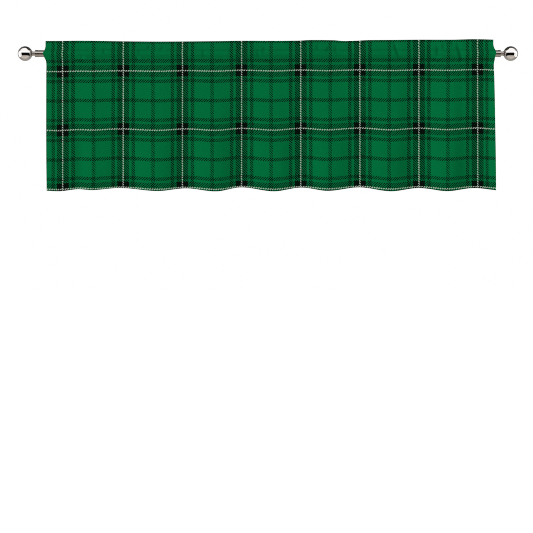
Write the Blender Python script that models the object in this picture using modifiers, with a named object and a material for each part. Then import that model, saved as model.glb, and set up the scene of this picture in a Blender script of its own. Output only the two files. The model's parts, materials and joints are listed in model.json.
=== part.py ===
"""A rod-pocket window valance hung on a plain round curtain rod with ball finials.

The valance is one length of cloth. Its top is turned over to the back and stitched down twice, which makes a
standing header with a rod pocket under it. Its bottom is turned up behind as a hem, and its sides are turned in.
The rod is a thin-walled tube, closed at each end by a turned finial whose plug goes into the tube.

+X runs along the rod to the viewer's right, +Y goes to the wall and +Z is up, in metres.
The origin is on the rod's axis, halfway between the two balls.
"""

from math import asin, cos, exp, hypot, pi, radians, sin

import bmesh
import bpy
from mathutils import Matrix

# The rod and its finials
BALL_SPAN = 1.460  # between the centres of the two balls
BALL_RADIUS = 0.0220
NECK_RADIUS = 0.0062
NECK_FILLET = 0.0040
BALL_TO_COLLAR = 0.0300  # from the ball's centre to the collar's outer face
COLLAR_RADIUS = 0.0104
COLLAR_LENGTH = 0.0080
COLLAR_ROUND = 0.0012
PLUG_LENGTH = 0.0160
PLUG_TAPER = 0.0015
FIT_GAP = 0.0003
ROD_RADIUS = 0.0100
ROD_WALL = 0.0010
ROD_LENGTH = BALL_SPAN - 2 * (BALL_TO_COLLAR + COLLAR_LENGTH + FIT_GAP)
ROD_SIDES = 48
FINIAL_SIDES = 28
BALL_ARC_STEPS = 12
FILLET_ARC_STEPS = 3
COLLAR_ARC_STEPS = 2

# The cloth, as it hangs
CLOTH_THICK = 0.0012
LAYER_GAP = 0.0005
POCKET_CLEARANCE = 0.0006
HEADER_TOP_Z = 0.0385
HEADER_SEAM_Z = 0.0150
POCKET_SEAM_Z = -0.0205
POCKET_LAP = 0.0030  # how far the back layer goes on below the pocket's seam
POCKET_ARC_STEPS = 4
HEM_Z = -0.4085
HEM_DEPTH = 0.0250
DROP_ROWS_Z = (-0.345, -0.290, -0.225, -0.160, -0.105, -0.060, -0.030)
LEFT_EDGE_X = -0.6657
RIGHT_EDGE_X = 0.6765
SIDE_HEM_WIDTH = 0.0120
SIDE_HEM_STEP = 0.0015
SIDE_HEM_LAYERS = 1.8  # how thick a turned-in side is, in thicknesses of the cloth
INNER_COLUMNS = 68

# How the drop is folded, from left to right along its hem: how far forward a fold comes, and how high it
# lifts the hem
HEM_FOLDS = (
    {"x": -0.666, "forward": 0.0010, "lift": -0.0040},
    {"x": -0.625, "forward": -0.0040, "lift": -0.0052},
    {"x": -0.572, "forward": 0.0040, "lift": 0.0005},
    {"x": -0.528, "forward": -0.0030, "lift": -0.0020},
    {"x": -0.442, "forward": 0.0090, "lift": 0.0040},
    {"x": -0.333, "forward": -0.0085, "lift": -0.0045},
    {"x": -0.246, "forward": 0.0070, "lift": 0.0030},
    {"x": -0.156, "forward": -0.0085, "lift": -0.0055},
    {"x": -0.080, "forward": 0.0090, "lift": 0.0058},
    {"x": 0.018, "forward": -0.0090, "lift": -0.0053},
    {"x": 0.099, "forward": 0.0095, "lift": 0.0052},
    {"x": 0.181, "forward": -0.0080, "lift": -0.0040},
    {"x": 0.274, "forward": 0.0100, "lift": 0.0058},
    {"x": 0.370, "forward": -0.0095, "lift": -0.0052},
    {"x": 0.452, "forward": 0.0090, "lift": 0.0038},
    {"x": 0.541, "forward": -0.0095, "lift": -0.0048},
    {"x": 0.617, "forward": 0.0080, "lift": 0.0038},
    {"x": 0.686, "forward": -0.0050, "lift": -0.0038},
)
FOLD_AT_SEAM = 0.12  # the share of a fold that is left at the pocket's seam
FOLD_AT_HEADER = 0.18
FOLD_GROWTH = 0.85
LIFT_AT_SEAM = 0.15  # the share of the hem's lift that is left there
LIFT_ALONG_DROP = 0.25

# How much higher or lower the header's top edge stands along the rod
HEADER_RISES = (
    {"x": -0.666, "rise": -0.0004},
    {"x": -0.541, "rise": 0.0002},
    {"x": -0.430, "rise": -0.0016},
    {"x": -0.250, "rise": -0.0019},
    {"x": -0.160, "rise": -0.0008},
    {"x": -0.070, "rise": 0.0001},
    {"x": 0.090, "rise": 0.0004},
    {"x": 0.127, "rise": 0.0023},
    {"x": 0.199, "rise": 0.0019},
    {"x": 0.226, "rise": -0.0004},
    {"x": 0.262, "rise": 0.0000},
    {"x": 0.300, "rise": 0.0020},
    {"x": 0.380, "rise": 0.0030},
    {"x": 0.560, "rise": 0.0038},
    {"x": 0.614, "rise": 0.0048},
    {"x": 0.686, "rise": 0.0036},
)

# How far the cloth's two side edges stand out past where they are below the pocket, from the hem up
EDGE_FLARES = (
    {"z": -0.4085, "left": -0.0010, "right": 0.0083},
    {"z": -0.3000, "left": 0.0000, "right": 0.0070},
    {"z": -0.1600, "left": 0.0000, "right": 0.0045},
    {"z": -0.0640, "left": 0.0000, "right": 0.0025},
    {"z": -0.0340, "left": 0.0000, "right": 0.0005},
    {"z": -0.0220, "left": 0.0015, "right": 0.0033},
    {"z": -0.0100, "left": 0.0068, "right": 0.0063},
    {"z": 0.0000, "left": 0.0094, "right": 0.0088},
    {"z": 0.0080, "left": 0.0067, "right": 0.0080},
    {"z": 0.0150, "left": 0.0043, "right": 0.0050},
    {"z": 0.0220, "left": 0.0030, "right": 0.0020},
    {"z": 0.0385, "left": 0.0028, "right": -0.0010},
)
FLARE_REACH = 0.0260

CLOTH_GREEN = (0.006, 0.130, 0.040, 1.0)
CHROME_GREY = (0.76, 0.74, 0.72, 1.0)


def ease(share):
    """A smooth half wave from 0 to 1."""
    return (1 - cos(pi * min(max(share, 0.0), 1.0))) / 2


def between(rows, key, place, column):
    """A table's column at a place, on a smooth curve through the rows."""
    place = min(max(place, rows[0][key]), rows[-1][key])
    at = next(n for n in range(len(rows) - 1) if place <= rows[n + 1][key])
    low, high = rows[at], rows[at + 1]
    before, after = rows[max(at - 1, 0)], rows[min(at + 2, len(rows) - 1)]
    span = high[key] - low[key]
    share = (place - low[key]) / span
    low_slope = (high[column] - before[column]) / (high[key] - before[key])
    high_slope = (after[column] - low[column]) / (after[key] - low[key])
    value = low[column] * (1 + 2 * share) * (1 - share) ** 2 + high[column] * (3 - 2 * share) * share**2
    return value + span * share * (1 - share) * (low_slope * (1 - share) - high_slope * share)


def arc(centre, radius, start, end, steps):
    """Points on an arc, whose angles go from straight up towards the first axis."""
    angles = [start + (end - start) * step / steps for step in range(steps + 1)]
    return [(centre[0] + radius * sin(angle), centre[1] + radius * cos(angle)) for angle in angles]


def drop_share(z):
    """How far down the drop a height is: 0 at the pocket's seam, 1 at the hem."""
    return min(max((POCKET_SEAM_Z - z) / (POCKET_SEAM_Z - HEM_Z), 0.0), 1.0)


def seam_share(z):
    """How near a height is to the pocket's lower seam: 1 from there down, 0 where the cloth meets the rod."""
    return ease((z + ROD_RADIUS) / (POCKET_SEAM_Z + ROD_RADIUS))


def fold_share(z):
    """How much of a fold the cloth has at a height: none where it lies round the rod, all at the hem."""
    header = FOLD_AT_HEADER * ease((z - HEADER_SEAM_Z) / (HEADER_TOP_Z - HEADER_SEAM_Z))
    return header + FOLD_AT_SEAM * seam_share(z) + (1 - FOLD_AT_SEAM) * drop_share(z) ** FOLD_GROWTH


def lift_share(z):
    """How much of the hem's lift the cloth has at a height."""
    down = drop_share(z)
    at_hem = 1 - LIFT_AT_SEAM - LIFT_ALONG_DROP
    return LIFT_AT_SEAM * seam_share(z) + LIFT_ALONG_DROP * down + at_hem * down**4


def cloth_section():
    """The cloth's outer face seen from its side, as (y, z): from the turned-up hem behind, round under it,
    up the front, over the header's top and down behind the rod."""
    face = CLOTH_THICK + LAYER_GAP / 2
    radius = ROD_RADIUS + POCKET_CLEARANCE + CLOTH_THICK
    hem_top = HEM_Z + HEM_DEPTH
    hem = [(face, hem_top), (face, HEM_Z + face), (0.0, HEM_Z), (-face, HEM_Z + face), (-face, hem_top)]
    drop = [(-face, z) for z in DROP_ROWS_Z]
    header_reach = hypot(face, HEADER_SEAM_Z)
    seam_reach = hypot(face, POCKET_SEAM_Z)
    upper = pi / 2 - asin(radius / header_reach) + asin(face / header_reach)
    lower = pi / 2 + asin(radius / seam_reach) - asin(face / seam_reach)
    behind = [(face, HEADER_TOP_Z - face), (face, (HEADER_SEAM_Z + HEADER_TOP_Z) / 2), (face, HEADER_SEAM_Z)]
    behind += arc((0.0, 0.0), radius, upper, lower, POCKET_ARC_STEPS)
    behind += [(face, POCKET_SEAM_Z)]
    front = [(-y, z) for y, z in reversed(behind)]
    return hem + drop + front + [(0.0, HEADER_TOP_Z)] + behind + [(face, POCKET_SEAM_Z - POCKET_LAP)]


def column_places():
    """How far each column is from the cloth's left edge, with two close together at each side hem's inner edge."""
    width = RIGHT_EDGE_X - LEFT_EDGE_X
    side = [0.0, SIDE_HEM_WIDTH, SIDE_HEM_WIDTH + SIDE_HEM_STEP]
    step = (width - 2 * side[-1]) / (INNER_COLUMNS + 1)
    inner = [side[-1] + step * (column + 1) for column in range(INNER_COLUMNS)]
    return side + inner + [width - place for place in reversed(side)]


def hang(place, y, z):
    """Where a point of the flat section hangs, at a column's place across the cloth."""
    x = LEFT_EDGE_X + place
    lift = lift_share(z) * between(HEM_FOLDS, "x", x, "lift")
    up_header = min(max((z - HEADER_SEAM_Z) / (HEADER_TOP_Z - HEADER_SEAM_Z), 0.0), 1.0)
    rise = up_header * between(HEADER_RISES, "x", x, "rise")
    forward = fold_share(z) * between(HEM_FOLDS, "x", x, "forward")
    left_flare = between(EDGE_FLARES, "z", z, "left") * exp((LEFT_EDGE_X - x) / FLARE_REACH)
    right_flare = between(EDGE_FLARES, "z", z, "right") * exp((x - RIGHT_EDGE_X) / FLARE_REACH)
    return (x - left_flare + right_flare, y - forward, z + lift + rise)


def new_object(name, mesh, colour, metallic, roughness):
    """An object with its own finish, in the part's collection."""
    finish = bpy.data.materials.new(name + "_finish")
    finish.use_nodes = True
    shader = finish.node_tree.nodes["Principled BSDF"]
    shader.inputs["Base Color"].default_value = colour
    shader.inputs["Metallic"].default_value = metallic
    shader.inputs["Roughness"].default_value = roughness
    mesh.materials.append(finish)
    made = bpy.data.objects.new(name, mesh)
    part.objects.link(made)
    return made


def make_valance():
    """The cloth: a grid laid along its section and its folds, which Solidify gives its thickness."""
    section = cloth_section()
    places = column_places()
    cloth = bmesh.new()
    bmesh.ops.create_grid(cloth, x_segments=len(places) - 1, y_segments=len(section) - 1, size=0.5)
    doubled = cloth.verts.layers.deform.verify()
    for vertex in cloth.verts:
        place = places[round((vertex.co.x + 0.5) * (len(places) - 1))]
        y, z = section[round((vertex.co.y + 0.5) * (len(section) - 1))]
        vertex.co = hang(place, y, z)
        if z in DROP_ROWS_Z[:-1] and min(place, places[-1] - place) <= SIDE_HEM_WIDTH:
            vertex[doubled][0] = 1.0
    mesh = bpy.data.meshes.new("valance")
    cloth.to_mesh(mesh)
    cloth.free()
    mesh.shade_smooth()
    valance = new_object("valance", mesh, CLOTH_GREEN, 0.0, 0.8)
    valance.vertex_groups.new(name="side_hems")
    thickness = valance.modifiers.new("thickness", "SOLIDIFY")
    thickness.thickness = CLOTH_THICK * SIDE_HEM_LAYERS
    thickness.vertex_group = "side_hems"
    thickness.thickness_vertex_group = 1 / SIDE_HEM_LAYERS
    thickness.offset = -1.0
    thickness.use_even_offset = True


def make_rod():
    """The tube: an open cylinder along X, whose wall goes inwards."""
    tube = bmesh.new()
    along_x = Matrix.Rotation(radians(90), 4, "Y")
    bmesh.ops.create_cone(
        tube, segments=ROD_SIDES, radius1=ROD_RADIUS, radius2=ROD_RADIUS, depth=ROD_LENGTH, matrix=along_x
    )
    mesh = bpy.data.meshes.new("rod")
    tube.to_mesh(mesh)
    tube.free()
    mesh.shade_smooth()
    rod = new_object("rod", mesh, CHROME_GREY, 1.0, 0.12)
    wall = rod.modifiers.new("wall", "SOLIDIFY")
    wall.thickness = ROD_WALL
    wall.offset = -1.0
    wall.use_even_offset = True


def finial_profile():
    """A finial's outline from the ball's outer pole, at the top, to the plug's end, as (radius, height)."""
    reach = BALL_RADIUS + NECK_FILLET
    fillet_x = NECK_RADIUS + NECK_FILLET
    lean = asin(fillet_x / reach)
    ball = arc((0.0, 0.0), BALL_RADIUS, 0.0, pi - lean, BALL_ARC_STEPS)
    fillet = arc((fillet_x, -reach * cos(lean)), NECK_FILLET, -lean, -pi / 2, FILLET_ARC_STEPS)
    outer_face = -BALL_TO_COLLAR
    inner_face = outer_face - COLLAR_LENGTH
    plug_end = inner_face - PLUG_LENGTH
    plug_radius = ROD_RADIUS - ROD_WALL - FIT_GAP
    rounding = (COLLAR_RADIUS - COLLAR_ROUND, outer_face - COLLAR_ROUND)
    collar = [(NECK_RADIUS, outer_face)] + arc(rounding, COLLAR_ROUND, 0.0, pi / 2, COLLAR_ARC_STEPS)
    collar += [(COLLAR_RADIUS, inner_face)]
    plug = [(plug_radius, inner_face), (plug_radius, plug_end + PLUG_TAPER)]
    plug += [(plug_radius - PLUG_TAPER, plug_end), (0.0, plug_end)]
    return ball + fillet[1:] + collar + plug


def make_finial(name, side):
    """A turned finial with its ball outwards, on the side that the sign gives."""
    outline = bmesh.new()
    points = [outline.verts.new((radius, 0.0, height)) for radius, height in finial_profile()]
    for above, below in zip(points, points[1:]):
        outline.edges.new((above, below))
    mesh = bpy.data.meshes.new(name)
    outline.to_mesh(mesh)
    outline.free()
    finial = new_object(name, mesh, CHROME_GREY, 1.0, 0.12)
    finial.location = (side * BALL_SPAN / 2, 0.0, 0.0)
    finial.rotation_euler = (0.0, side * radians(90), 0.0)
    turning = finial.modifiers.new("turning", "SCREW")
    turning.axis = "Z"
    turning.angle = 2 * pi
    turning.steps = FINIAL_SIDES
    turning.render_steps = FINIAL_SIDES
    turning.use_merge_vertices = True
    turning.merge_threshold = 0.00005
    turning.use_smooth_shade = True


for leftover in list(bpy.data.objects):
    bpy.data.objects.remove(leftover)
part = bpy.data.collections.new("window_valance_on_rod")
bpy.context.scene.collection.children.link(part)

make_valance()
make_rod()
make_finial("finial_left", -1)
make_finial("finial_right", 1)
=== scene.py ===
"""The looks of a tartan window valance on its chromed curtain rod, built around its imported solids.

+X runs along the rod to the viewer's right, +Y goes to the wall and +Z is up, in metres.
The origin is on the rod's axis, halfway between the two balls.
"""

import json
from math import asin, cos, exp, hypot, pi, radians, sin

import bmesh
import bpy
from mathutils import Matrix, Vector, noise

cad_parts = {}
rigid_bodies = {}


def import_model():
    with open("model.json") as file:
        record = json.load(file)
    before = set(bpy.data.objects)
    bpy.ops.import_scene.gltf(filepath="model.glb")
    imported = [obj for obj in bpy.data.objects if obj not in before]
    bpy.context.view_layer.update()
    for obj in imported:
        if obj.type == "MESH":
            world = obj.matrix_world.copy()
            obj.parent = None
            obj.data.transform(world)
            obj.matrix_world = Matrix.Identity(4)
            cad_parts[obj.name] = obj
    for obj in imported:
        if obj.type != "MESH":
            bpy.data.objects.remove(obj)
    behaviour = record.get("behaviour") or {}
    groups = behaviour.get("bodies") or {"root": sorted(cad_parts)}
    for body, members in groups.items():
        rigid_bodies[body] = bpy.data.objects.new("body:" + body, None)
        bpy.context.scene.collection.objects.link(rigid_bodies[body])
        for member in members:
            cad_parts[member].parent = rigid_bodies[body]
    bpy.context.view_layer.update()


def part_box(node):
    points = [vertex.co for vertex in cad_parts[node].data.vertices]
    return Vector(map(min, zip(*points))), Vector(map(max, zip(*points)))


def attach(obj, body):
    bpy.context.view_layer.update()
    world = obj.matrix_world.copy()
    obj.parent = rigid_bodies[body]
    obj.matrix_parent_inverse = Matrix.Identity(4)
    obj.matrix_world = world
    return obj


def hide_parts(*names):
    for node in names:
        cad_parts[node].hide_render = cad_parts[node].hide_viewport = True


for leftover in list(bpy.data.objects):
    bpy.data.objects.remove(leftover)
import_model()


# The curtain rod: a thin-walled steel tube, drawn, polished and chromed. It is threaded through the cloth's
# pocket, so only a finger's width of it is bare at each end, and its ends are closed by the finials.
rod_low, rod_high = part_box("rod")
ROD_RADIUS = (rod_high.z - rod_low.z) / 2
ROD_WALL = 0.0010
ROD_SIDES = 96
# The chrome's painted shade: the rod, collar and neck get a darker chrome colour, which darkens their reflections
PAINTED_SHADE_TO = 1.0  # from the middle, and past the tube's ends: none of it is bright
CHROME = (0.82, 0.80, 0.78, 1.0)
PAINTED_SHADE_CHROME = (0.46, 0.42, 0.38, 1.0)
PAINTED_SHADE_FADE = 0.0040  # over which the chrome goes from its painted shade to bright
SHARP_ANGLE = radians(40)  # from which an edge is shown sharp


class Value:
    """One output of a node. Python's operators on it add Math nodes."""

    def __init__(self, tree, socket=None):
        self.tree = tree
        self.socket = socket

    def node(self, kind, settings, inputs, output=0):
        """Adds a node of any kind: its settings first, then the numbers, colours or links that go in."""
        added = self.tree.nodes.new(kind)
        for name, setting in settings.items():
            if name == "stops":
                for stop, (position, colour) in enumerate(setting):
                    ramp = added.color_ramp.elements
                    element = ramp[stop] if stop < len(ramp) else ramp.new(position)
                    element.position = position
                    element.color = colour
            else:
                setattr(added, name, setting)
        for name, given in inputs.items():
            if isinstance(given, Value):
                self.tree.links.new(given.socket, added.inputs[name])
            else:
                added.inputs[name].default_value = given
        return Value(self.tree, added.outputs[output])

    def math(self, operation, *others):
        """A Math node on this value and the others."""
        return self.node("ShaderNodeMath", {"operation": operation}, dict(enumerate((self,) + others)))

    def __add__(self, other):
        return self.math("ADD", other)

    def __sub__(self, other):
        return self.math("SUBTRACT", other)

    def __rsub__(self, other):
        return self.math("MULTIPLY_ADD", -1.0, other)

    def __mul__(self, other):
        return self.math("MULTIPLY", other)

    def __truediv__(self, other):
        return self.math("DIVIDE", other)

    def __mod__(self, other):
        return self.math("FLOORED_MODULO", other)

    def __gt__(self, other):
        return self.math("GREATER_THAN", other)

    def __lt__(self, other):
        return self.math("LESS_THAN", other)

    def clamped(self):
        """This value, kept from 0 to 1."""
        return self.math("MAXIMUM", 0.0).math("MINIMUM", 1.0)

    def mix(self, colour, other):
        """A colour that goes from the first, where this value is 0, to the other, where it is 1."""
        return self.node("ShaderNodeMix", {"data_type": "RGBA"}, {0: self, 6: colour, 7: other}, output=2)


def new_finish(name):
    """A material with its Principled shader alone, and a value to start its nodes from."""
    finish = bpy.data.materials.new(name)
    finish.use_nodes = True
    return finish, finish.node_tree.nodes["Principled BSDF"], Value(finish.node_tree)


def feed(start, shader, links):
    """Links values to the shader's sockets."""
    for name, value in links.items():
        start.tree.links.new(value.socket, shader.inputs[name])


def chrome_finish(name, haze, unshaded_from):
    """Chrome plate with fine polishing marks: bright from a distance along X outwards, and darkened before it as
    painted shade, which darkens the reflections there.
    """
    finish, shader, start = new_finish(name)
    shader.inputs["Metallic"].default_value = 1.0
    place = start.node("ShaderNodeTexCoord", {}, {}, output=3)
    cloud = place.node("ShaderNodeTexNoise", {}, {"Vector": place, "Scale": 70.0, "Detail": 3.0})
    marks = place.node("ShaderNodeTexNoise", {}, {"Vector": place, "Scale": 900.0, "Detail": 2.0})
    outwards = place.node("ShaderNodeSeparateXYZ", {}, {"Vector": place}).math("ABSOLUTE")
    # Painted shade: nearer the middle than the given distance, the chrome's colour is darkened
    unshaded = ((outwards - unshaded_from) / PAINTED_SHADE_FADE).clamped()
    feed(start, shader, {
        "Base Color": (unshaded * (1.1 - cloud * 0.3)).math("MINIMUM", 1.0).mix(PAINTED_SHADE_CHROME, CHROME),
        "Roughness": cloud * haze + marks * 0.02 + 0.03,
        "Normal": marks.node("ShaderNodeBump", {}, {"Strength": 0.04, "Distance": 0.0002, "Height": marks}),
    })
    return finish


def new_piece(name, shape, *finishes):
    """A piece from a bmesh, in the scene and smoothly shaded, with its materials."""
    mesh = bpy.data.meshes.new(name)
    shape.to_mesh(mesh)
    shape.free()
    mesh.shade_smooth()
    for finish in finishes:
        mesh.materials.append(finish)
    piece = bpy.data.objects.new(name, mesh)
    bpy.context.scene.collection.objects.link(piece)
    return piece


def make_rod():
    """The tube: an open cylinder along X, whose wall goes inwards."""
    tube = bmesh.new()
    along_x = Matrix.Rotation(radians(90), 4, "Y")
    length = rod_high.x - rod_low.x
    bmesh.ops.create_cone(
        tube, segments=ROD_SIDES, radius1=ROD_RADIUS, radius2=ROD_RADIUS, depth=length, matrix=along_x
    )
    # The whole tube's chrome has the painted shade, which darkens its reflections
    rod = new_piece("curtain_rod", tube, chrome_finish("rod_chrome", haze=0.05, unshaded_from=PAINTED_SHADE_TO))
    wall = rod.modifiers.new("wall", "SOLIDIFY")
    wall.thickness = ROD_WALL
    wall.offset = -1.0
    wall.use_even_offset = True
    ends = rod.modifiers.new("sharp_ends", "EDGE_SPLIT")
    ends.split_angle = SHARP_ANGLE
    return rod


rod = make_rod()
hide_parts("rod")
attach(rod, "root")


# The two finials: each turned from one bar, polished and chromed, with a ball on a slim neck and a collar that
# covers the tube's end. A plug behind the collar is pushed into the tube.
BALL_RADIUS = 0.0220
BALL_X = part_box("finial_right")[1].x - BALL_RADIUS
NECK_RADIUS = 0.0062
NECK_FILLET = 0.0040
BALL_TO_COLLAR = 0.0300
COLLAR_RADIUS = 0.0104
COLLAR_LENGTH = 0.0080
COLLAR_ROUND = 0.0012
PLUG_LENGTH = 0.0160
PLUG_TAPER = 0.0015
FIT_GAP = 0.0003
FINIAL_SIDES = 72


def arc(centre, radius, start, end, steps):
    """Points on an arc, whose angles go from straight up towards the first axis."""
    angles = [start + (end - start) * step / steps for step in range(steps + 1)]
    return [(centre[0] + radius * sin(angle), centre[1] + radius * cos(angle)) for angle in angles]


def finial_profile():
    """A finial's outline from the ball's outer pole, at the top, to the plug's end, as (radius, height)."""
    reach = BALL_RADIUS + NECK_FILLET
    fillet_x = NECK_RADIUS + NECK_FILLET
    lean = asin(fillet_x / reach)
    ball = arc((0.0, 0.0), BALL_RADIUS, 0.0, pi - lean, 40)
    fillet = arc((fillet_x, -reach * cos(lean)), NECK_FILLET, -lean, -pi / 2, 8)
    outer_face = -BALL_TO_COLLAR
    inner_face = outer_face - COLLAR_LENGTH
    plug_end = inner_face - PLUG_LENGTH
    plug_radius = ROD_RADIUS - ROD_WALL - FIT_GAP
    rounding = (COLLAR_RADIUS - COLLAR_ROUND, outer_face - COLLAR_ROUND)
    collar = [(NECK_RADIUS, outer_face)] + arc(rounding, COLLAR_ROUND, 0.0, pi / 2, 6)
    collar += [(COLLAR_RADIUS, inner_face)]
    plug = [(plug_radius, inner_face), (plug_radius, plug_end + PLUG_TAPER)]
    plug += [(plug_radius - PLUG_TAPER, plug_end), (0.0, plug_end)]
    return ball + fillet[1:] + collar + plug


def make_finial(side, finish):
    """A turned finial with its ball outwards, on the side that the sign gives."""
    turned = bmesh.new()
    points = [turned.verts.new((radius, 0.0, height)) for radius, height in finial_profile()]
    outline = [turned.edges.new(pair) for pair in zip(points, points[1:])]
    bmesh.ops.spin(
        turned, geom=points + outline, cent=(0, 0, 0), axis=(0, 0, 1), dvec=(0, 0, 0),
        angle=2 * pi, steps=FINIAL_SIDES, use_merge=True,
    )
    bmesh.ops.remove_doubles(turned, verts=turned.verts, dist=0.00002)
    bmesh.ops.recalc_face_normals(turned, faces=turned.faces)
    turn = Matrix.Translation((side * BALL_X, 0, 0)) @ Matrix.Rotation(side * radians(90), 4, "Y")
    bmesh.ops.transform(turned, matrix=turn, verts=turned.verts)
    name = "finial_right" if side > 0 else "finial_left"
    finial = new_piece(name + "_turned", turned, finish)
    creases = finial.modifiers.new("creases", "EDGE_SPLIT")
    creases.split_angle = SHARP_ANGLE
    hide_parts(name)
    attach(finial, "root")


# On each finial the collar and neck have the painted shade, and the ball is bright
finial_chrome = chrome_finish("finial_chrome", haze=0.03, unshaded_from=BALL_X - BALL_RADIUS)
for side in (-1, 1):
    make_finial(side, finial_chrome)


# The valance: one length of printed cotton twill. Its sides are turned in, its top is turned over to the back and
# stitched down twice, which makes a standing header with the rod's pocket under it, and its bottom is turned up
# behind as a hem. It hangs nearly flat, in shallow folds that come forward at every repeat of its tartan.
CLOTH_THICK = 0.0005
FACE_OUT = 0.00145  # from the middle of the doubled cloth to its outer face
POCKET_RADIUS = 0.0118
HEADER_TOP_Z = 0.0385
HEADER_SEAM_Z = 0.0150
POCKET_SEAM_Z = -0.0205
POCKET_LAP = 0.0030
HEM_Z = -0.4085
HEM_DEPTH = 0.0250
LEFT_EDGE_X = -0.6657
RIGHT_EDGE_X = 0.6765
CLOTH_WIDTH = RIGHT_EDGE_X - LEFT_EDGE_X
SIDE_HEM_WIDTH = 0.0120
TURN_RADIUS = 0.00055  # of a side's turned edge, at its outer face
WIDE_COLUMN = 0.0048
FINE_COLUMN = 0.0025  # near a crease
DROP_ROW = 0.0110
FINE_ROW = 0.0024
PIN_ROW = 0.0019

# How the drop is folded, from left to right along its hem: how far forward a fold comes, and how high it
# lifts the hem
HEM_FOLDS = (
    {"x": -0.666, "forward": 0.0010, "lift": -0.0040},
    {"x": -0.625, "forward": -0.0040, "lift": -0.0052},
    {"x": -0.572, "forward": 0.0040, "lift": 0.0005},
    {"x": -0.528, "forward": -0.0030, "lift": -0.0020},
    {"x": -0.442, "forward": 0.0090, "lift": 0.0040},
    {"x": -0.333, "forward": -0.0085, "lift": -0.0045},
    {"x": -0.246, "forward": 0.0070, "lift": 0.0030},
    {"x": -0.156, "forward": -0.0085, "lift": -0.0055},
    {"x": -0.080, "forward": 0.0090, "lift": 0.0058},
    {"x": 0.018, "forward": -0.0090, "lift": -0.0053},
    {"x": 0.099, "forward": 0.0095, "lift": 0.0052},
    {"x": 0.181, "forward": -0.0080, "lift": -0.0040},
    {"x": 0.274, "forward": 0.0100, "lift": 0.0058},
    {"x": 0.370, "forward": -0.0095, "lift": -0.0052},
    {"x": 0.452, "forward": 0.0090, "lift": 0.0038},
    {"x": 0.541, "forward": -0.0095, "lift": -0.0048},
    {"x": 0.617, "forward": 0.0080, "lift": 0.0038},
    {"x": 0.686, "forward": -0.0050, "lift": -0.0038},
)
FOLD_AT_SEAM = 0.12  # the share of a fold that is left at the pocket's seam
FOLD_AT_HEADER = 0.18
FOLD_GROWTH = 0.85
LIFT_AT_SEAM = 0.12  # the share of the hem's lift that is left there, and that the print follows
LIFT_ALONG_DROP = 0.58
EDGE_LIFT_GROWTH = 12  # how suddenly the rest of the lift comes, close over the hem

# How much higher or lower the header's top edge stands along the rod
HEADER_RISES = (
    {"x": -0.666, "rise": -0.0004},
    {"x": -0.541, "rise": 0.0002},
    {"x": -0.430, "rise": -0.0016},
    {"x": -0.250, "rise": -0.0019},
    {"x": -0.160, "rise": -0.0008},
    {"x": -0.070, "rise": 0.0001},
    {"x": 0.090, "rise": 0.0004},
    {"x": 0.127, "rise": 0.0023},
    {"x": 0.199, "rise": 0.0019},
    {"x": 0.226, "rise": -0.0004},
    {"x": 0.262, "rise": 0.0000},
    {"x": 0.300, "rise": 0.0020},
    {"x": 0.380, "rise": 0.0030},
    {"x": 0.560, "rise": 0.0038},
    {"x": 0.614, "rise": 0.0048},
    {"x": 0.686, "rise": 0.0036},
)

# How far the cloth's two side edges stand out past where they are below the pocket, from the hem up
EDGE_FLARES = (
    {"z": -0.4085, "left": -0.0006, "right": 0.0097},
    {"z": -0.3000, "left": 0.0006, "right": 0.0088},
    {"z": -0.1600, "left": 0.0008, "right": 0.0064},
    {"z": -0.0640, "left": 0.0006, "right": 0.0042},
    {"z": -0.0340, "left": 0.0003, "right": 0.0028},
    {"z": -0.0220, "left": 0.0015, "right": 0.0046},
    {"z": -0.0100, "left": 0.0068, "right": 0.0063},
    {"z": 0.0000, "left": 0.0094, "right": 0.0088},
    {"z": 0.0080, "left": 0.0067, "right": 0.0080},
    {"z": 0.0150, "left": 0.0043, "right": 0.0050},
    {"z": 0.0220, "left": 0.0030, "right": 0.0022},
    {"z": 0.0300, "left": 0.0029, "right": 0.0014},
    {"z": 0.0385, "left": 0.0028, "right": 0.0016},
)
FLARE_REACH = 0.0260

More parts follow.
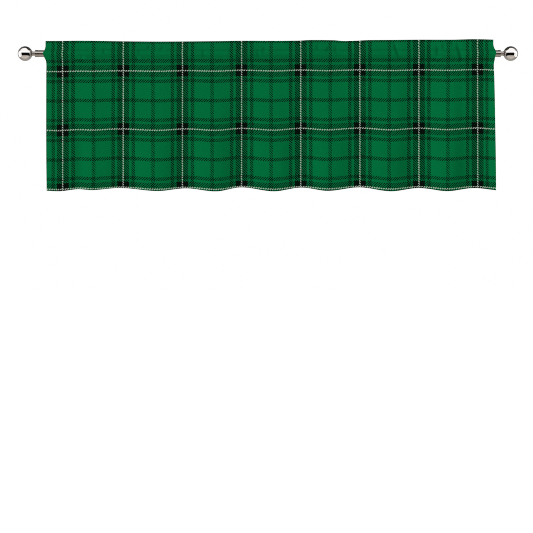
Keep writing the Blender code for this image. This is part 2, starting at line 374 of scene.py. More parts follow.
# Small creases pressed into the front by the two seams' pull: the middle of each, its half length and half
# width, its lean from upright to the right in degrees, and how far it comes forward: mostly on its right, or on
# its left where that is negative
SEAM_CREASES = (
    {"x": -0.566, "z": -0.0215, "length": 0.0130, "width": 0.0064, "lean": 86, "forward": -0.0032},
    {"x": -0.560, "z": -0.0140, "length": 0.0055, "width": 0.0077, "lean": 40, "forward": 0.0026},
    {"x": -0.493, "z": 0.0063, "length": 0.0080, "width": 0.0058, "lean": 0, "forward": 0.0024},
    {"x": -0.394, "z": -0.0170, "length": 0.0075, "width": 0.0061, "lean": 0, "forward": 0.0024},
    {"x": -0.388, "z": 0.0039, "length": 0.0080, "width": 0.0058, "lean": 5, "forward": 0.0015},
    {"x": -0.359, "z": 0.0210, "length": 0.0060, "width": 0.0067, "lean": 35, "forward": 0.0030},
    {"x": -0.318, "z": 0.0175, "length": 0.0055, "width": 0.0067, "lean": 35, "forward": 0.0028},
    {"x": -0.195, "z": -0.0010, "length": 0.0150, "width": 0.0058, "lean": 0, "forward": 0.0017},
    {"x": -0.138, "z": -0.0190, "length": 0.0060, "width": 0.0064, "lean": 0, "forward": 0.0014},
    {"x": -0.116, "z": 0.0060, "length": 0.0090, "width": 0.0061, "lean": 10, "forward": 0.0015},
    {"x": -0.026, "z": 0.0009, "length": 0.0090, "width": 0.0048, "lean": -8, "forward": -0.0022},
    {"x": -0.013, "z": 0.0129, "length": 0.0100, "width": 0.0070, "lean": 10, "forward": 0.0018},
    {"x": 0.002, "z": -0.0215, "length": 0.0100, "width": 0.0061, "lean": 90, "forward": -0.0024},
    {"x": 0.148, "z": 0.0189, "length": 0.0060, "width": 0.0067, "lean": 30, "forward": 0.0016},
    {"x": 0.178, "z": 0.0120, "length": 0.0075, "width": 0.0061, "lean": 25, "forward": 0.0027},
    {"x": 0.203, "z": 0.0114, "length": 0.0120, "width": 0.0061, "lean": 0, "forward": 0.0018},
    {"x": 0.247, "z": 0.0129, "length": 0.0140, "width": 0.0093, "lean": 0, "forward": 0.0028},
    {"x": 0.384, "z": 0.0114, "length": 0.0210, "width": 0.0061, "lean": -17, "forward": 0.0029},
    {"x": 0.480, "z": 0.0039, "length": 0.0170, "width": 0.0067, "lean": 0, "forward": 0.0018},
    {"x": 0.507, "z": -0.0200, "length": 0.0130, "width": 0.0067, "lean": 90, "forward": -0.0036},
    {"x": 0.507, "z": 0.0084, "length": 0.0120, "width": 0.0067, "lean": 5, "forward": 0.0026},
    {"x": 0.526, "z": 0.0219, "length": 0.0060, "width": 0.0070, "lean": 30, "forward": 0.0024},
    {"x": 0.552, "z": 0.0290, "length": 0.0070, "width": 0.0064, "lean": -20, "forward": 0.0022},
    {"x": 0.572, "z": 0.0069, "length": 0.0190, "width": 0.0074, "lean": -14, "forward": 0.0030},
    {"x": 0.578, "z": -0.0156, "length": 0.0080, "width": 0.0070, "lean": 0, "forward": 0.0022},
)

# Soft ridges and troughs that run down the drop along its folds, with the same columns. Each is the same on its
# left and right, and a negative one goes back. The last seven are ridges over the hem
DROP_CREASES = (
    {"x": -0.588, "z": -0.350, "length": 0.130, "width": 0.012, "lean": 2, "forward": -0.0034},
    {"x": -0.556, "z": -0.350, "length": 0.120, "width": 0.014, "lean": 2, "forward": 0.0028},
    {"x": -0.484, "z": -0.330, "length": 0.160, "width": 0.018, "lean": 0, "forward": -0.0014},
    {"x": -0.449, "z": -0.220, "length": 0.200, "width": 0.009, "lean": -3, "forward": -0.0026},
    {"x": -0.425, "z": -0.280, "length": 0.180, "width": 0.013, "lean": -5, "forward": 0.0014},
    {"x": -0.306, "z": -0.320, "length": 0.150, "width": 0.018, "lean": -2, "forward": -0.0016},
    {"x": -0.264, "z": -0.260, "length": 0.190, "width": 0.010, "lean": -4, "forward": -0.0018},
    {"x": -0.240, "z": -0.320, "length": 0.160, "width": 0.013, "lean": -4, "forward": 0.0014},
    {"x": -0.128, "z": -0.340, "length": 0.140, "width": 0.018, "lean": 0, "forward": -0.0010},
    {"x": -0.087, "z": -0.250, "length": 0.190, "width": 0.010, "lean": -2, "forward": -0.0024},
    {"x": -0.056, "z": -0.320, "length": 0.170, "width": 0.015, "lean": -2, "forward": 0.0018},
    {"x": 0.046, "z": -0.280, "length": 0.220, "width": 0.018, "lean": -1, "forward": -0.0018},
    {"x": 0.074, "z": -0.230, "length": 0.220, "width": 0.010, "lean": -6, "forward": -0.0024},
    {"x": 0.108, "z": -0.320, "length": 0.180, "width": 0.014, "lean": -5, "forward": 0.0018},
    {"x": 0.222, "z": -0.280, "length": 0.220, "width": 0.018, "lean": 1, "forward": -0.0012},
    {"x": 0.258, "z": -0.230, "length": 0.220, "width": 0.010, "lean": -5, "forward": -0.0026},
    {"x": 0.288, "z": -0.300, "length": 0.200, "width": 0.014, "lean": -4, "forward": 0.0020},
    {"x": 0.396, "z": -0.200, "length": 0.200, "width": 0.018, "lean": -1, "forward": -0.0020},
    {"x": 0.449, "z": -0.260, "length": 0.200, "width": 0.011, "lean": -3, "forward": -0.0034},
    {"x": 0.482, "z": -0.290, "length": 0.200, "width": 0.016, "lean": -4, "forward": 0.0034},
    {"x": 0.562, "z": -0.240, "length": 0.300, "width": 0.020, "lean": 0, "forward": -0.0026},
    {"x": 0.603, "z": -0.220, "length": 0.260, "width": 0.011, "lean": -2, "forward": -0.0030},
    {"x": 0.646, "z": -0.240, "length": 0.300, "width": 0.020, "lean": 0, "forward": 0.0036},
    {"x": -0.396, "z": -0.390, "length": 0.090, "width": 0.017, "lean": -3, "forward": 0.0030},
    {"x": -0.219, "z": -0.390, "length": 0.090, "width": 0.017, "lean": -3, "forward": 0.0026},
    {"x": -0.041, "z": -0.390, "length": 0.090, "width": 0.017, "lean": -3, "forward": 0.0028},
    {"x": 0.137, "z": -0.390, "length": 0.090, "width": 0.017, "lean": -3, "forward": 0.0032},
    {"x": 0.314, "z": -0.390, "length": 0.090, "width": 0.017, "lean": -3, "forward": 0.0026},
    {"x": 0.494, "z": -0.390, "length": 0.090, "width": 0.017, "lean": -3, "forward": 0.0034},
    {"x": 0.668, "z": -0.390, "length": 0.090, "width": 0.017, "lean": -3, "forward": 0.0030},
)
CREASE_TILT = 2.33  # how much of a small crease is on its one side
CREASE_END = 3  # where a crease has died out, in its half lengths or half widths

# The puckers that the two seams draw into the cloth, and the slight ripple of pressed cotton
PUCKER_PITCH = 0.0165
PUCKER_DEPTH = 0.00050
PUCKER_REACH = 0.0080
PUCKER_SPACING = 0.05  # along which they drift closer together and apart
PUCKER_STRENGTH = 0.09  # along which they grow stronger and weaker
RIPPLE_SIZE = 0.0450
RIPPLE_DEPTH = 0.00045
RIPPLE_AT_TOP = 0.4  # the share of it that the header has

# The tartan, counted in printed threads from the middle of a white line to the middle of the wide green check,
# with the share of each stripe that its slanted strokes cover, up and down the cloth and across it
TARTAN_SETT = (
    {"thread": "white", "count": 1, "upright": 0.50, "level": 0.50},
    {"thread": "black", "count": 9, "upright": 0.57, "level": 0.47},
    {"thread": "green", "count": 4},
    {"thread": "black", "count": 6, "upright": 0.52, "level": 0.49},
    {"thread": "green", "count": 27},
    {"thread": "black", "count": 3, "upright": 0.42, "level": 0.50},
)
THREAD_ACROSS = 0.001776
THREAD_DOWN = 0.001764
WHITE_LINE_X = -0.0791
WHITE_LINE_Z = -0.0511
TWILL_THREADS = 4  # one slanted stroke of the print and the gap beside it

# How far the print is drawn sideways along the cloth, and how much it climbs from the middle to the right end
PRINT_DRIFTS = (
    {"x": -0.690, "drift": -0.0028},
    {"x": -0.648, "drift": -0.0030},
    {"x": -0.632, "drift": -0.0052},
    {"x": -0.617, "drift": -0.0054},
    {"x": -0.525, "drift": -0.0010},
    {"x": -0.434, "drift": -0.0002},
    {"x": 0.454, "drift": -0.0001},
    {"x": 0.630, "drift": -0.0014},
    {"x": 0.646, "drift": -0.0016},
    {"x": 0.660, "drift": -0.0044},
    {"x": 0.700, "drift": -0.0044},
)
PRINT_CLIMBS = (
    {"z": -0.4085, "climb": 0.0011},
    {"z": -0.2300, "climb": 0.0017},
    {"z": -0.0510, "climb": 0.0022},
    {"z": 0.0150, "climb": 0.0018},
    {"z": 0.0385, "climb": 0.0},
)


def ease(share):
    """A smooth half wave from 0 to 1."""
    return (1 - cos(pi * min(max(share, 0.0), 1.0))) / 2


def between(rows, key, place, column):
    """A table's column at a place, on a smooth curve through the rows."""
    place = min(max(place, rows[0][key]), rows[-1][key])
    at = next(n for n in range(len(rows) - 1) if place <= rows[n + 1][key])
    low, high = rows[at], rows[at + 1]
    before, after = rows[max(at - 1, 0)], rows[min(at + 2, len(rows) - 1)]
    span = high[key] - low[key]
    share = (place - low[key]) / span
    low_slope = (high[column] - before[column]) / (high[key] - before[key])
    high_slope = (after[column] - low[column]) / (after[key] - low[key])
    value = low[column] * (1 + 2 * share) * (1 - share) ** 2 + high[column] * (3 - 2 * share) * share**2
    return value + span * share * (1 - share) * (low_slope * (1 - share) - high_slope * share)


def drop_share(z):
    """How far down the drop a height is: 0 at the pocket's seam, 1 at the hem."""
    return min(max((POCKET_SEAM_Z - z) / (POCKET_SEAM_Z - HEM_Z), 0.0), 1.0)


def seam_share(z):
    """How near a height is to the pocket's lower seam: 1 from there down, 0 where the cloth meets the rod."""
    return ease((z + ROD_RADIUS) / (POCKET_SEAM_Z + ROD_RADIUS))


def fold_share(z):
    """How much of a fold the cloth has at a height: none where it lies round the rod, all at the hem."""
    header = FOLD_AT_HEADER * ease((z - HEADER_SEAM_Z) / (HEADER_TOP_Z - HEADER_SEAM_Z))
    return header + FOLD_AT_SEAM * seam_share(z) + (1 - FOLD_AT_SEAM) * drop_share(z) ** FOLD_GROWTH


def print_lift_share(z):
    """How much of the hem's lift the print has at a height."""
    return LIFT_AT_SEAM * seam_share(z) + LIFT_ALONG_DROP * drop_share(z)


def edge_lift_share(z):
    """How much of the hem's lift comes from its fold running unevenly through the print."""
    return (1 - LIFT_AT_SEAM - LIFT_ALONG_DROP) * drop_share(z) ** EDGE_LIFT_GROWTH


def along_and_aside(crease, x, z):
    """Where a place is along a crease and across it, in its half lengths and half widths, if near it."""
    across, up = x - crease["x"], z - crease["z"]
    lean = radians(crease["lean"])
    along = (across * sin(lean) + up * cos(lean)) / crease["length"]
    aside = (across * cos(lean) - up * sin(lean)) / crease["width"]
    return (along, aside) if abs(along) < CREASE_END and abs(aside) < CREASE_END else None


def drop_depth(x, z):
    """How far forward the soft ridges and troughs bring the drop."""
    depth = 0.0
    for crease in DROP_CREASES:
        near = along_and_aside(crease, x, z)
        if near:
            depth += crease["forward"] * exp(-(near[0] ** 2) - near[1] ** 2)
    return depth


def seam_depth(x, z):
    """How far forward the seams' creases and puckers bring the front."""
    depth = 0.0
    for crease in SEAM_CREASES:
        near = along_and_aside(crease, x, z)
        if near:
            fall = exp(-(near[0] ** 2) - near[1] ** 2)
            depth += (CREASE_TILT * crease["forward"] * near[1] + abs(crease["forward"])) * fall
    for seam_z in (HEADER_SEAM_Z, POCKET_SEAM_Z):
        nearness = exp(-(((z - seam_z) / PUCKER_REACH) ** 2))
        if nearness > 0.01:
            wander = noise.noise(Vector((x / PUCKER_SPACING, seam_z * 100, 0.0)))
            pull = 0.5 + 0.5 * noise.noise(Vector((x / PUCKER_STRENGTH, seam_z * 100, 3.0)))
            depth += PUCKER_DEPTH * nearness * pull * sin(2 * pi * x / PUCKER_PITCH + 5 * wander)
    return depth


def unevenness(x, z):
    """The drop's ridges and the cloth's slight ripple, in front and back together. None is left on the rod."""
    loose = seam_share(z) + ease((z - HEADER_SEAM_Z) / (HEADER_TOP_Z - HEADER_SEAM_Z))
    ripple = RIPPLE_DEPTH * (RIPPLE_AT_TOP + (1 - RIPPLE_AT_TOP) * drop_share(z))
    ripple *= noise.noise(Vector((x / RIPPLE_SIZE, z / (1.6 * RIPPLE_SIZE), 7.0)))
    return loose * (ripple + drop_depth(x, z))


def hang(place, y, z):
    """Where a point of the flat section hangs, at its place across the cloth."""
    x = LEFT_EDGE_X + place
    lift = (print_lift_share(z) + edge_lift_share(z)) * between(HEM_FOLDS, "x", x, "lift")
    up_header = min(max((z - HEADER_SEAM_Z) / (HEADER_TOP_Z - HEADER_SEAM_Z), 0.0), 1.0)
    rise = up_header * between(HEADER_RISES, "x", x, "rise")
    forward = fold_share(z) * between(HEM_FOLDS, "x", x, "forward")
    forward += unevenness(x, z)
    if y < 0:
        forward += seam_depth(x, z)
    left_flare = between(EDGE_FLARES, "z", z, "left") * exp((LEFT_EDGE_X - x) / FLARE_REACH)
    right_flare = between(EDGE_FLARES, "z", z, "right") * exp((x - RIGHT_EDGE_X) / FLARE_REACH)
    return Vector((x - left_flare + right_flare, y - forward, z + lift + rise))


def straight(start, end, step):
    """Evenly spaced points from one point up to the next, without the last."""
    steps = max(1, round(hypot(end[0] - start[0], end[1] - start[1]) / step))
    return [
        (start[0] + (end[0] - start[0]) * n / steps, start[1] + (end[1] - start[1]) * n / steps)
        for n in range(steps)
    ]


def cloth_section():
    """The cloth's outer face seen from its side, as (y, z): from the turned-up hem behind, round under it,
    up the front, over the header's top and down behind the rod."""
    face = FACE_OUT
    hem_top = HEM_Z + HEM_DEPTH
    hem_turn = HEM_Z + face
    header_reach = hypot(face, HEADER_SEAM_Z)
    seam_reach = hypot(face, POCKET_SEAM_Z)
    upper = pi / 2 - asin(POCKET_RADIUS / header_reach) + asin(face / header_reach)
    lower = pi / 2 + asin(POCKET_RADIUS / seam_reach) - asin(face / seam_reach)
    pocket = arc((0.0, 0.0), POCKET_RADIUS, upper, lower, 14)
    fine_z = POCKET_SEAM_Z - 8 * FINE_ROW
    section = straight((face, hem_top), (face, hem_turn), DROP_ROW / 2)
    section += arc((0.0, hem_turn), face, pi / 2, 3 * pi / 2, 6)[:-1]
    section += straight((-face, hem_turn), (-face, hem_top + FINE_ROW), FINE_ROW * 2)
    section += straight((-face, hem_top + FINE_ROW), (-face, fine_z), DROP_ROW)
    section += straight((-face, fine_z), (-face, POCKET_SEAM_Z), FINE_ROW)
    section += straight((-face, POCKET_SEAM_Z), (-pocket[-1][0], pocket[-1][1]), PIN_ROW)
    section += [(-y, z) for y, z in reversed(pocket)][:-1]
    section += straight((-pocket[0][0], pocket[0][1]), (-face, HEADER_SEAM_Z), PIN_ROW)
    section += straight((-face, HEADER_SEAM_Z), (-face, HEADER_TOP_Z - face), PIN_ROW)
    section += arc((0.0, HEADER_TOP_Z - face), face, -pi / 2, pi / 2, 6)[:-1]
    section += straight((face, HEADER_TOP_Z - face), (face, HEADER_SEAM_Z), FINE_ROW * 1.3)
    section += straight((face, HEADER_SEAM_Z), pocket[0], FINE_ROW * 2)
    section += pocket[:-1:2]
    section += straight(pocket[-1], (face, POCKET_SEAM_Z), FINE_ROW * 2)
    return section + [(face, POCKET_SEAM_Z), (face, POCKET_SEAM_Z - POCKET_LAP)]


def outward(section, row):
    """The direction that the outer face looks in at a row of the section, as (y, z)."""
    before, after = section[max(row - 1, 0)], section[min(row + 1, len(section) - 1)]
    y, z = after[0] - before[0], after[1] - before[1]
    return (-z / hypot(y, z), y / hypot(y, z))


def print_heights(section):
    """How high on the print each row of the section is. Between the pocket's seam and the header's top the
    cloth is drawn taut over the rod, so the print is a little stretched there."""
    lengths = [0.0]
    for (y0, z0), (y1, z1) in zip(section, section[1:]):
        lengths.append(lengths[-1] + hypot(y1 - y0, z1 - z0))
    bottom = section.index((-FACE_OUT, HEM_Z + FACE_OUT))
    seam = section.index((-FACE_OUT, POCKET_SEAM_Z))
    top = max(range(len(section)), key=lambda row: section[row][1])
    stretch = (section[top][1] - section[seam][1]) / (lengths[top] - lengths[seam])
    heights = []
    for row, length in enumerate(lengths):
        if row <= seam:
            heights.append(section[bottom][1] + length - lengths[bottom])
        elif row <= top:
            heights.append(section[seam][1] + (length - lengths[seam]) * stretch)
        else:
            heights.append(section[top][1] + length - lengths[top])
    return heights


def creased(x):
    """Whether a small crease runs at this place along the rod."""
    for crease in SEAM_CREASES:
        reach = 0.5 * crease["length"] * abs(sin(radians(crease["lean"]))) + 1.1 * crease["width"]
        if abs(x - crease["x"]) < reach:
            return True
    return False


def columns():
    """Each column's place across the hung cloth, its depth under the outer face and its place on the flat
    cloth. The sides are turned in round a small radius, and the columns are closer together at the creases."""
    side = []
    for step in range(4):
        place = SIDE_HEM_WIDTH - (SIDE_HEM_WIDTH - TURN_RADIUS) * step / 4
        side.append((place, 2 * TURN_RADIUS, -pi * TURN_RADIUS - place + TURN_RADIUS))
    for step in range(5):
        angle = pi * step / 4
        side.append((
            TURN_RADIUS * (1 - sin(angle)), TURN_RADIUS * (1 + cos(angle)), -TURN_RADIUS * (pi - angle)
        ))
    inner_width = CLOTH_WIDTH - 2 * TURN_RADIUS
    reached = [0.0]
    while reached[-1] < inner_width:
        x = LEFT_EDGE_X + TURN_RADIUS + reached[-1]
        reached.append(reached[-1] + (FINE_COLUMN if creased(x) else WIDE_COLUMN))
    flats = [place * inner_width / reached[-1] for place in reached[1:-1]]
    inner = [(TURN_RADIUS + flat, 0.0, flat) for flat in flats]
    other = [(CLOTH_WIDTH - place, depth, inner_width - flat) for place, depth, flat in reversed(side)]
    return side + inner + other


def make_valance(face_finish, wrong_finish):
    """The cloth: a grid laid along its section and its folds, whose map is the flat cloth in metres."""
    section = cloth_section()
    places = columns()
    heights = print_heights(section)
    outwards = [outward(section, row) for row in range(len(section))]
    cloth = bmesh.new()
    bmesh.ops.create_grid(cloth, x_segments=len(places) - 1, y_segments=len(section) - 1, size=0.5)
    flat = {}
    for vertex in cloth.verts:
        column = round((vertex.co.x + 0.5) * (len(places) - 1))
        row = round((vertex.co.y + 0.5) * (len(section) - 1))
        place, depth, across = places[column]
        y, z = section[row]
        out_y, out_z = outwards[row]
        x = LEFT_EDGE_X + place
        vertex.co = hang(place, y - out_y * depth, z - out_z * depth)
        lift = between(HEM_FOLDS, "x", x, "lift")
        climb = between(PRINT_CLIMBS, "z", z, "climb") * x / CLOTH_WIDTH * 2
        drift = between(PRINT_DRIFTS, "x", x, "drift")
        flared = vertex.co.x - x
        flat[vertex] = (
            LEFT_EDGE_X + TURN_RADIUS + across + flared - WHITE_LINE_X - drift,
            heights[row] - WHITE_LINE_Z + edge_lift_share(z) * lift - climb,
        )
    laid = cloth.loops.layers.uv.new("flat_cloth")
    for side in cloth.faces:
        for corner in side.loops:
            corner[laid].uv = flat[corner.vert]
    valance = new_piece("valance_cloth", cloth, face_finish, wrong_finish)
    thickness = valance.modifiers.new("thickness", "SOLIDIFY")
    thickness.thickness = CLOTH_THICK
    thickness.offset = -1.0
    thickness.use_even_offset = True
    thickness.material_offset = 1
    return valance


def tartan_finish(name, green, bright_green, black, white):
    """A printed tartan: slanted strokes for each stripe over the green ground, on soft matt cotton."""
    finish, shader, start = new_finish(name)
    shader.inputs["Specular IOR Level"].default_value = 0.02
    laid = start.node("ShaderNodeUVMap", {"uv_map": "flat_cloth"}, {})
    axes = {"Vector": laid}
    across = start.node("ShaderNodeSeparateXYZ", {}, axes, output=0) / THREAD_ACROSS
    down = start.node("ShaderNodeSeparateXYZ", {}, axes, output=1) / THREAD_DOWN
    half_sett = float(sum(row["count"] for row in TARTAN_SETT))
    falling = (across + down) % TWILL_THREADS / TWILL_THREADS
    rising = (across - down) % TWILL_THREADS / TWILL_THREADS
    dark, light, striped, crossing = [], [], [], []
    for way, position, slant in (("upright", across, falling), ("level", down, rising)):
        from_white = position.math("PINGPONG", half_sett)
        edge = 0.0
        for row in TARTAN_SETT:
            if row["thread"] != "green":
                inside = (from_white > edge - 0.001) * (from_white < edge + row["count"])
                strokes = inside * (slant < row[way])
                (dark if row["thread"] == "black" else light).append(strokes)
                striped.append(inside)
            edge += row["count"]
        crossing.append(from_white < TARTAN_SETT[0]["count"] + TARTAN_SETT[1]["count"])
    dark.append(crossing[0] * crossing[1])
    dark, light, striped = (sum(masks[1:], masks[0]).math("MINIMUM", 1.0) for masks in (dark, light, striped))
    ground = striped.mix(green, bright_green)
    printed = light.mix(dark.mix(ground, black), white)
    fading = start.node("ShaderNodeTexNoise", {}, {"Vector": laid, "Scale": 9.0, "Detail": 3.0})
    slub = start.node("ShaderNodeTexNoise", {}, {"Vector": laid, "Scale": 420.0, "Detail": 2.0})
    worn = (fading * 0.5 + slub * 0.5 - 0.5) * WEAR
    shade = worn.node("ShaderNodeHueSaturation", {}, {"Value": worn + 1.0, "Color": printed})
    yarns = (across * 4.0 * pi).math("SINE") * (down * 4.0 * pi).math("SINE")
    bump = yarns.node(
        "ShaderNodeBump", {}, {"Strength": 0.12, "Distance": 0.0001, "Height": yarns * 0.5 + slub}
    )
    feed(start, shader, {"Base Color": shade, "Roughness": slub * 0.15 + 0.78, "Normal": bump})
    return finish


GREEN = (0.0005, 0.1390, 0.0392, 1.0)
BRIGHT_GREEN = (0.0010, 0.1500, 0.0445, 1.0)
BLACK = (0.0018, 0.0052, 0.0032, 1.0)
WHITE = (0.41, 0.48, 0.40, 1.0)
PALE_GREEN = (0.060, 0.230, 0.110, 1.0)
PALE_BRIGHT_GREEN = (0.065, 0.260, 0.125, 1.0)
PALE_BLACK = (0.030, 0.075, 0.045, 1.0)
PALE_WHITE = (0.42, 0.52, 0.43, 1.0)
WEAR = 0.35  # how uneven the print's lightness is

valance = make_valance(
    tartan_finish("tartan_face", GREEN, BRIGHT_GREEN, BLACK, WHITE),
    tartan_finish("tartan_wrong_side", PALE_GREEN, PALE_BRIGHT_GREEN, PALE_BLACK, PALE_WHITE),
)
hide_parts("valance")
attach(valance, "root")


# The stitching: rows of lockstitch in dark green thread, sewn through both layers along the header, under the
# pocket, along the hem and down the two turned-in sides. Each stitch sinks a little into the cloth at its ends.
STITCH_PITCH = 0.0031
STITCH_LENGTH = 0.0025
STITCH_RADIUS = 0.00020
STITCH_SINK = 0.00008
SEAM_INSET = 0.0022  # from a fold's edge to its stitching
SEAM_END = 0.0020  # from the cloth's side edge to a seam's first stitch
THREAD_GREEN = (0.002, 0.110, 0.034, 1.0)
BRIGHT_THREAD_GREEN = (0.004, 0.140, 0.044, 1.0)


def thread_finish():
    """Dark green sewing thread with a slight gloss, twisted from fine plies."""
    finish, shader, start = new_finish("sewing_thread")
    shader.inputs["Specular IOR Level"].default_value = 0.10
    place = start.node("ShaderNodeTexCoord", {}, {}, output=3)
    plies = place.node("ShaderNodeTexNoise", {}, {"Vector": place, "Scale": 2500.0, "Detail": 1.0})
    feed(start, shader, {
        "Base Color": plies.mix(THREAD_GREEN, BRIGHT_THREAD_GREEN),
        "Roughness": plies * 0.2 + 0.45,
    })
    return finish


def make_stitch():
    """The pattern of one stitch: a slim bead, one unit round and one long each way."""
    bead = bmesh.new()
    bmesh.ops.create_uvsphere(bead, u_segments=6, v_segments=4, radius=1.0)
    stitch = bpy.data.meshes.new("stitch")
    bead.to_mesh(stitch)
    bead.free()
    return stitch


def sew(sewing, stitch, spots):
    """Sews a row of stitches. Each has two spots, its ends: a point on the face and the way out from it."""
    for (start, out), (end, _) in zip(spots[::2], spots[1::2]):
        along = (end - start).normalized()
        aside = out.cross(along).normalized()
        out = along.cross(aside)
        turn = Matrix((aside, out, along)).transposed().to_4x4()
        size = Matrix.Diagonal((STITCH_RADIUS, STITCH_RADIUS, (end - start).length / 2, 1.0))
        laid = Matrix.Translation((start + end) / 2 - out * STITCH_SINK) @ turn @ size
        stitch.transform(laid)
        sewing.from_mesh(stitch)
        stitch.transform(laid.inverted())


def seam_across(y, z):
    """The ends of the stitches of a seam that runs across the cloth, on the face at y."""
    spots = []
    stitches = int((CLOTH_WIDTH - 2 * SEAM_END) / STITCH_PITCH)
    out = Vector((0, 1 if y > 0 else -1, 0))
    for stitch in range(stitches):
        for end in (0.0, STITCH_LENGTH):
            spots.append((hang(SEAM_END + stitch * STITCH_PITCH + end, y, z), out))
    return spots


def seam_down(place, y, top, bottom):
    """The ends of the stitches of a seam that runs down the cloth, on the face at y."""
    spots = []
    out = Vector((0, 1 if y > 0 else -1, 0))
    for stitch in range(int((top - bottom) / STITCH_PITCH)):
        for end in (0.0, STITCH_LENGTH):
            spots.append((hang(place, y, top - stitch * STITCH_PITCH - end), out))
    return spots


def make_stitching():
    """All the stitching, as one piece."""
    sewing = bmesh.new()
    stitch = make_stitch()
    hem_seam_z = HEM_Z + HEM_DEPTH - SEAM_INSET
    for y in (-FACE_OUT, FACE_OUT):
        for z in (HEADER_SEAM_Z, POCKET_SEAM_Z, hem_seam_z):
            sew(sewing, stitch, seam_across(y, z))
    inside = SIDE_HEM_WIDTH - SEAM_INSET
    drop = (POCKET_SEAM_Z - POCKET_LAP - 0.001, HEM_Z + HEM_DEPTH + 0.001)
    for place in (inside, CLOTH_WIDTH - inside):
        sew(sewing, stitch, seam_down(place, -FACE_OUT, *drop))
        sew(sewing, stitch, seam_down(place, -FACE_OUT + 2 * TURN_RADIUS, *drop))
    return new_piece("valance_stitching", sewing, thread_finish())


stitching = make_stitching()
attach(stitching, "root")
valance.visible_glossy = False  # the chrome shows the studio alone
stitching.visible_glossy = False


# The studio: a pale floor and a white surround, a broad soft light from the right that shows the folds, and at
# each end of the rod a white card and a dark flag, which show only in the chrome. The camera looks straight
# at the wall.
FLOOR_Z = -1.500
FLOOR_SIZE = 60.0
FLOOR_WHITE = (0.92, 0.92, 0.92, 1.0)
FLOOR_GLOW = 0.60
KEY_PLACE = (3.2, -5.1, 0.8)
KEY_STRENGTH = 2.15
KEY_SPREAD = radians(20)
CARD_PLACE = (1.05, -0.02, -0.03)
CARD_WIDTH = 0.42
CARD_HEIGHT = 0.34
CARD_POWER = 0.5
FLAG_PLACE = (0.691, 0.034, 0.045)
FLAG_WIDTH = 0.046
FLAG_DEPTH = 0.116
FLAG_GREY = (0.05, 0.045, 0.04, 1.0)
FILL_STRENGTH = 0.42
SIDE_GREY = (0.30, 0.29, 0.28, 1.0)
BAR_BLACK = (0.004, 0.004, 0.004, 1.0)
BAR_LOW = -0.56  # the heights between which a black wall is seen in the chrome
BAR_HIGH = 0.25
BAR_BLUR = 0.10
CAMERA_X = -0.0042
CAMERA_Z = -0.6401
CAMERA_DISTANCE = 6.0
VIEW_WIDTH = 1.6026  # what the picture's frame takes in at the rod
SENSOR_WIDTH = 36.0

# The bands that the chrome reflects: 0 degrees is towards the viewer, 90 overhead and 180 at the wall
REFLECTED_BANDS = (
    {"degrees": -180, "colour": (0.36, 0.34, 0.31, 1.0)},
    {"degrees": -112, "colour": (0.40, 0.37, 0.34, 1.0)},
    {"degrees": -66, "colour": (0.72, 0.65, 0.59, 1.0)},
    {"degrees": -42, "colour": (0.52, 0.47, 0.43, 1.0)},
    {"degrees": -10, "colour": (0.20, 0.18, 0.16, 1.0)},
    {"degrees": 10, "colour": (1.20, 1.20, 1.20, 1.0)},
    {"degrees": 90, "colour": (1.20, 1.20, 1.20, 1.0)},
    {"degrees": 100, "colour": (0.02, 0.02, 0.02, 1.0)},
    {"degrees": 180, "colour": (0.02, 0.02, 0.02, 1.0)},
)


def glow(shader, colour, strength):
    """Gives a finish an even light of its own, and no gloss."""
    shader.inputs["Specular IOR Level"].default_value = 0.0
    shader.inputs["Emission Color"].default_value = colour
    shader.inputs["Emission Strength"].default_value = strength


def make_floor():
    """A plain matt floor."""
    ground = bmesh.new()
    level = Matrix.Translation((0, 0, FLOOR_Z))
    bmesh.ops.create_grid(ground, x_segments=1, y_segments=1, size=FLOOR_SIZE, matrix=level)
    finish, shader, _ = new_finish("pale_floor")
    shader.inputs["Base Color"].default_value = FLOOR_WHITE
    shader.inputs["Roughness"].default_value = 0.9
    glow(shader, (1.0, 1.0, 1.0, 1.0), FLOOR_GLOW)
    floor = new_piece("studio_floor", ground, finish)
    floor.visible_glossy = False
    floor.visible_diffuse = False


def place_light(light, place, target):
    """Puts a light in the scene, looking at its target, and hides it from the camera."""
    lamp = bpy.data.objects.new(light.name, light)
    lamp.location = place
    lamp.rotation_euler = (Vector(target) - Vector(place)).to_track_quat("-Z", "Y").to_euler()
    lamp.visible_camera = False
    bpy.context.scene.collection.objects.link(lamp)
    return lamp


def make_key():
    """The main light: broad and even, from the right and a little above."""
    light = bpy.data.lights.new("soft_key", "SUN")
    light.energy = KEY_STRENGTH
    light.angle = KEY_SPREAD
    lamp = place_light(light, KEY_PLACE, (0, 0, 0))
    lamp.visible_glossy = False


def make_ball_card(side):
    """A white card beside a ball, which shows only in the chrome."""
    light = bpy.data.lights.new("ball_card", "AREA")
    light.shape = "RECTANGLE"
    light.size = CARD_WIDTH
    light.size_y = CARD_HEIGHT
    light.energy = CARD_POWER
    out, back, up = CARD_PLACE
    place_light(light, (side * out, back, up), (side * BALL_X, 0, 0))


def make_flag(side):
    """A dark flag over a bare end of the rod, which shows only in the chrome."""
    flat = bmesh.new()
    bmesh.ops.create_grid(flat, x_segments=1, y_segments=1, size=0.5)
    out, back, up = FLAG_PLACE
    size = Matrix.Diagonal((FLAG_WIDTH, FLAG_DEPTH, 1.0, 1.0))
    bmesh.ops.transform(flat, matrix=Matrix.Translation((side * out, back, up)) @ size, verts=flat.verts)
    finish, shader, _ = new_finish("dark_flag")
    shader.inputs["Base Color"].default_value = (0.0, 0.0, 0.0, 1.0)
    glow(shader, FLAG_GREY, 1.0)
    flag = new_piece("rod_flag", flat, finish)
    flag.visible_camera = False
    flag.visible_diffuse = False
    flag.visible_shadow = False


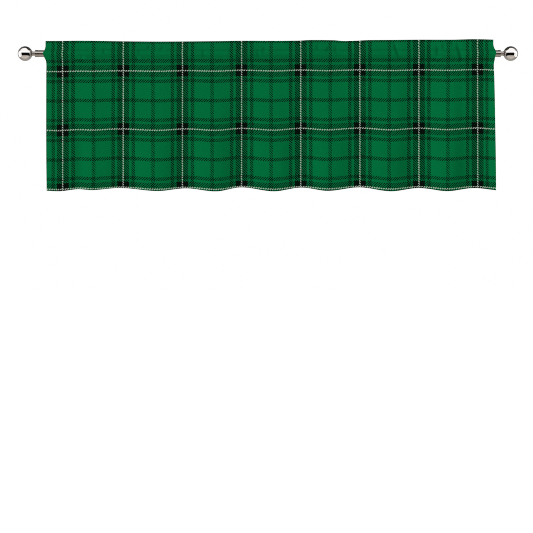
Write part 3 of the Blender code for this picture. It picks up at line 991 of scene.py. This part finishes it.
def make_world():
    """White to the camera, soft white on the cloth, and a studio's bands of dark and light in the chrome."""
    world = bpy.data.worlds.new("white_studio")
    world.use_nodes = True
    tree = world.node_tree
    start = Value(tree)
    direction = {"Vector": start.node("ShaderNodeTexCoord", {}, {}, output=0)}
    east, north, up = (start.node("ShaderNodeSeparateXYZ", {}, direction, output=axis) for axis in range(3))
    turn = up.math("ARCTAN2", north * -1.0) / (2 * pi) + 0.5
    stops = [(row["degrees"] / 360 + 0.5, row["colour"]) for row in REFLECTED_BANDS]
    bands = turn.node("ShaderNodeValToRGB", {"stops": stops}, {"Fac": turn})
    behind = (north * 4.0).clamped()
    aside = (east.math("ABSOLUTE") * 1.6 - 0.3).clamped()
    bands = (behind * aside).mix(bands, SIDE_GREY)
    over_low = ((up - BAR_LOW) / BAR_BLUR).clamped()
    under_high = ((BAR_HIGH - up) / BAR_BLUR).clamped()
    bands = (over_low * under_high * ((0.1 - north) > 0.0)).mix(bands, BAR_BLACK)
    seen = start.node("ShaderNodeLightPath", {}, {}, output=0)
    mirrored = start.node("ShaderNodeLightPath", {}, {}, output=3)
    soft = (FILL_STRENGTH, FILL_STRENGTH, FILL_STRENGTH, 1.0)
    colour = seen.mix(mirrored.mix(soft, bands), (1.0, 1.0, 1.0, 1.0))
    tree.links.new(colour.socket, tree.nodes["Background"].inputs["Color"])
    bpy.context.scene.world = world


make_floor()
make_world()
make_key()
for side in (-1, 1):
    make_flag(side)
    make_ball_card(side)

camera = bpy.data.objects.new("camera", bpy.data.cameras.new("camera"))
camera.data.sensor_width = SENSOR_WIDTH
camera.data.lens = SENSOR_WIDTH * CAMERA_DISTANCE / VIEW_WIDTH
camera.location = (CAMERA_X, -CAMERA_DISTANCE, CAMERA_Z)
camera.rotation_euler = (radians(90), 0, 0)
bpy.context.scene.collection.objects.link(camera)
bpy.context.scene.camera = camera
bpy.context.scene.view_settings.view_transform = "Standard"
bpy.context.scene.cycles.use_denoising = False
bpy.context.scene.cycles.filter_width = 1.0
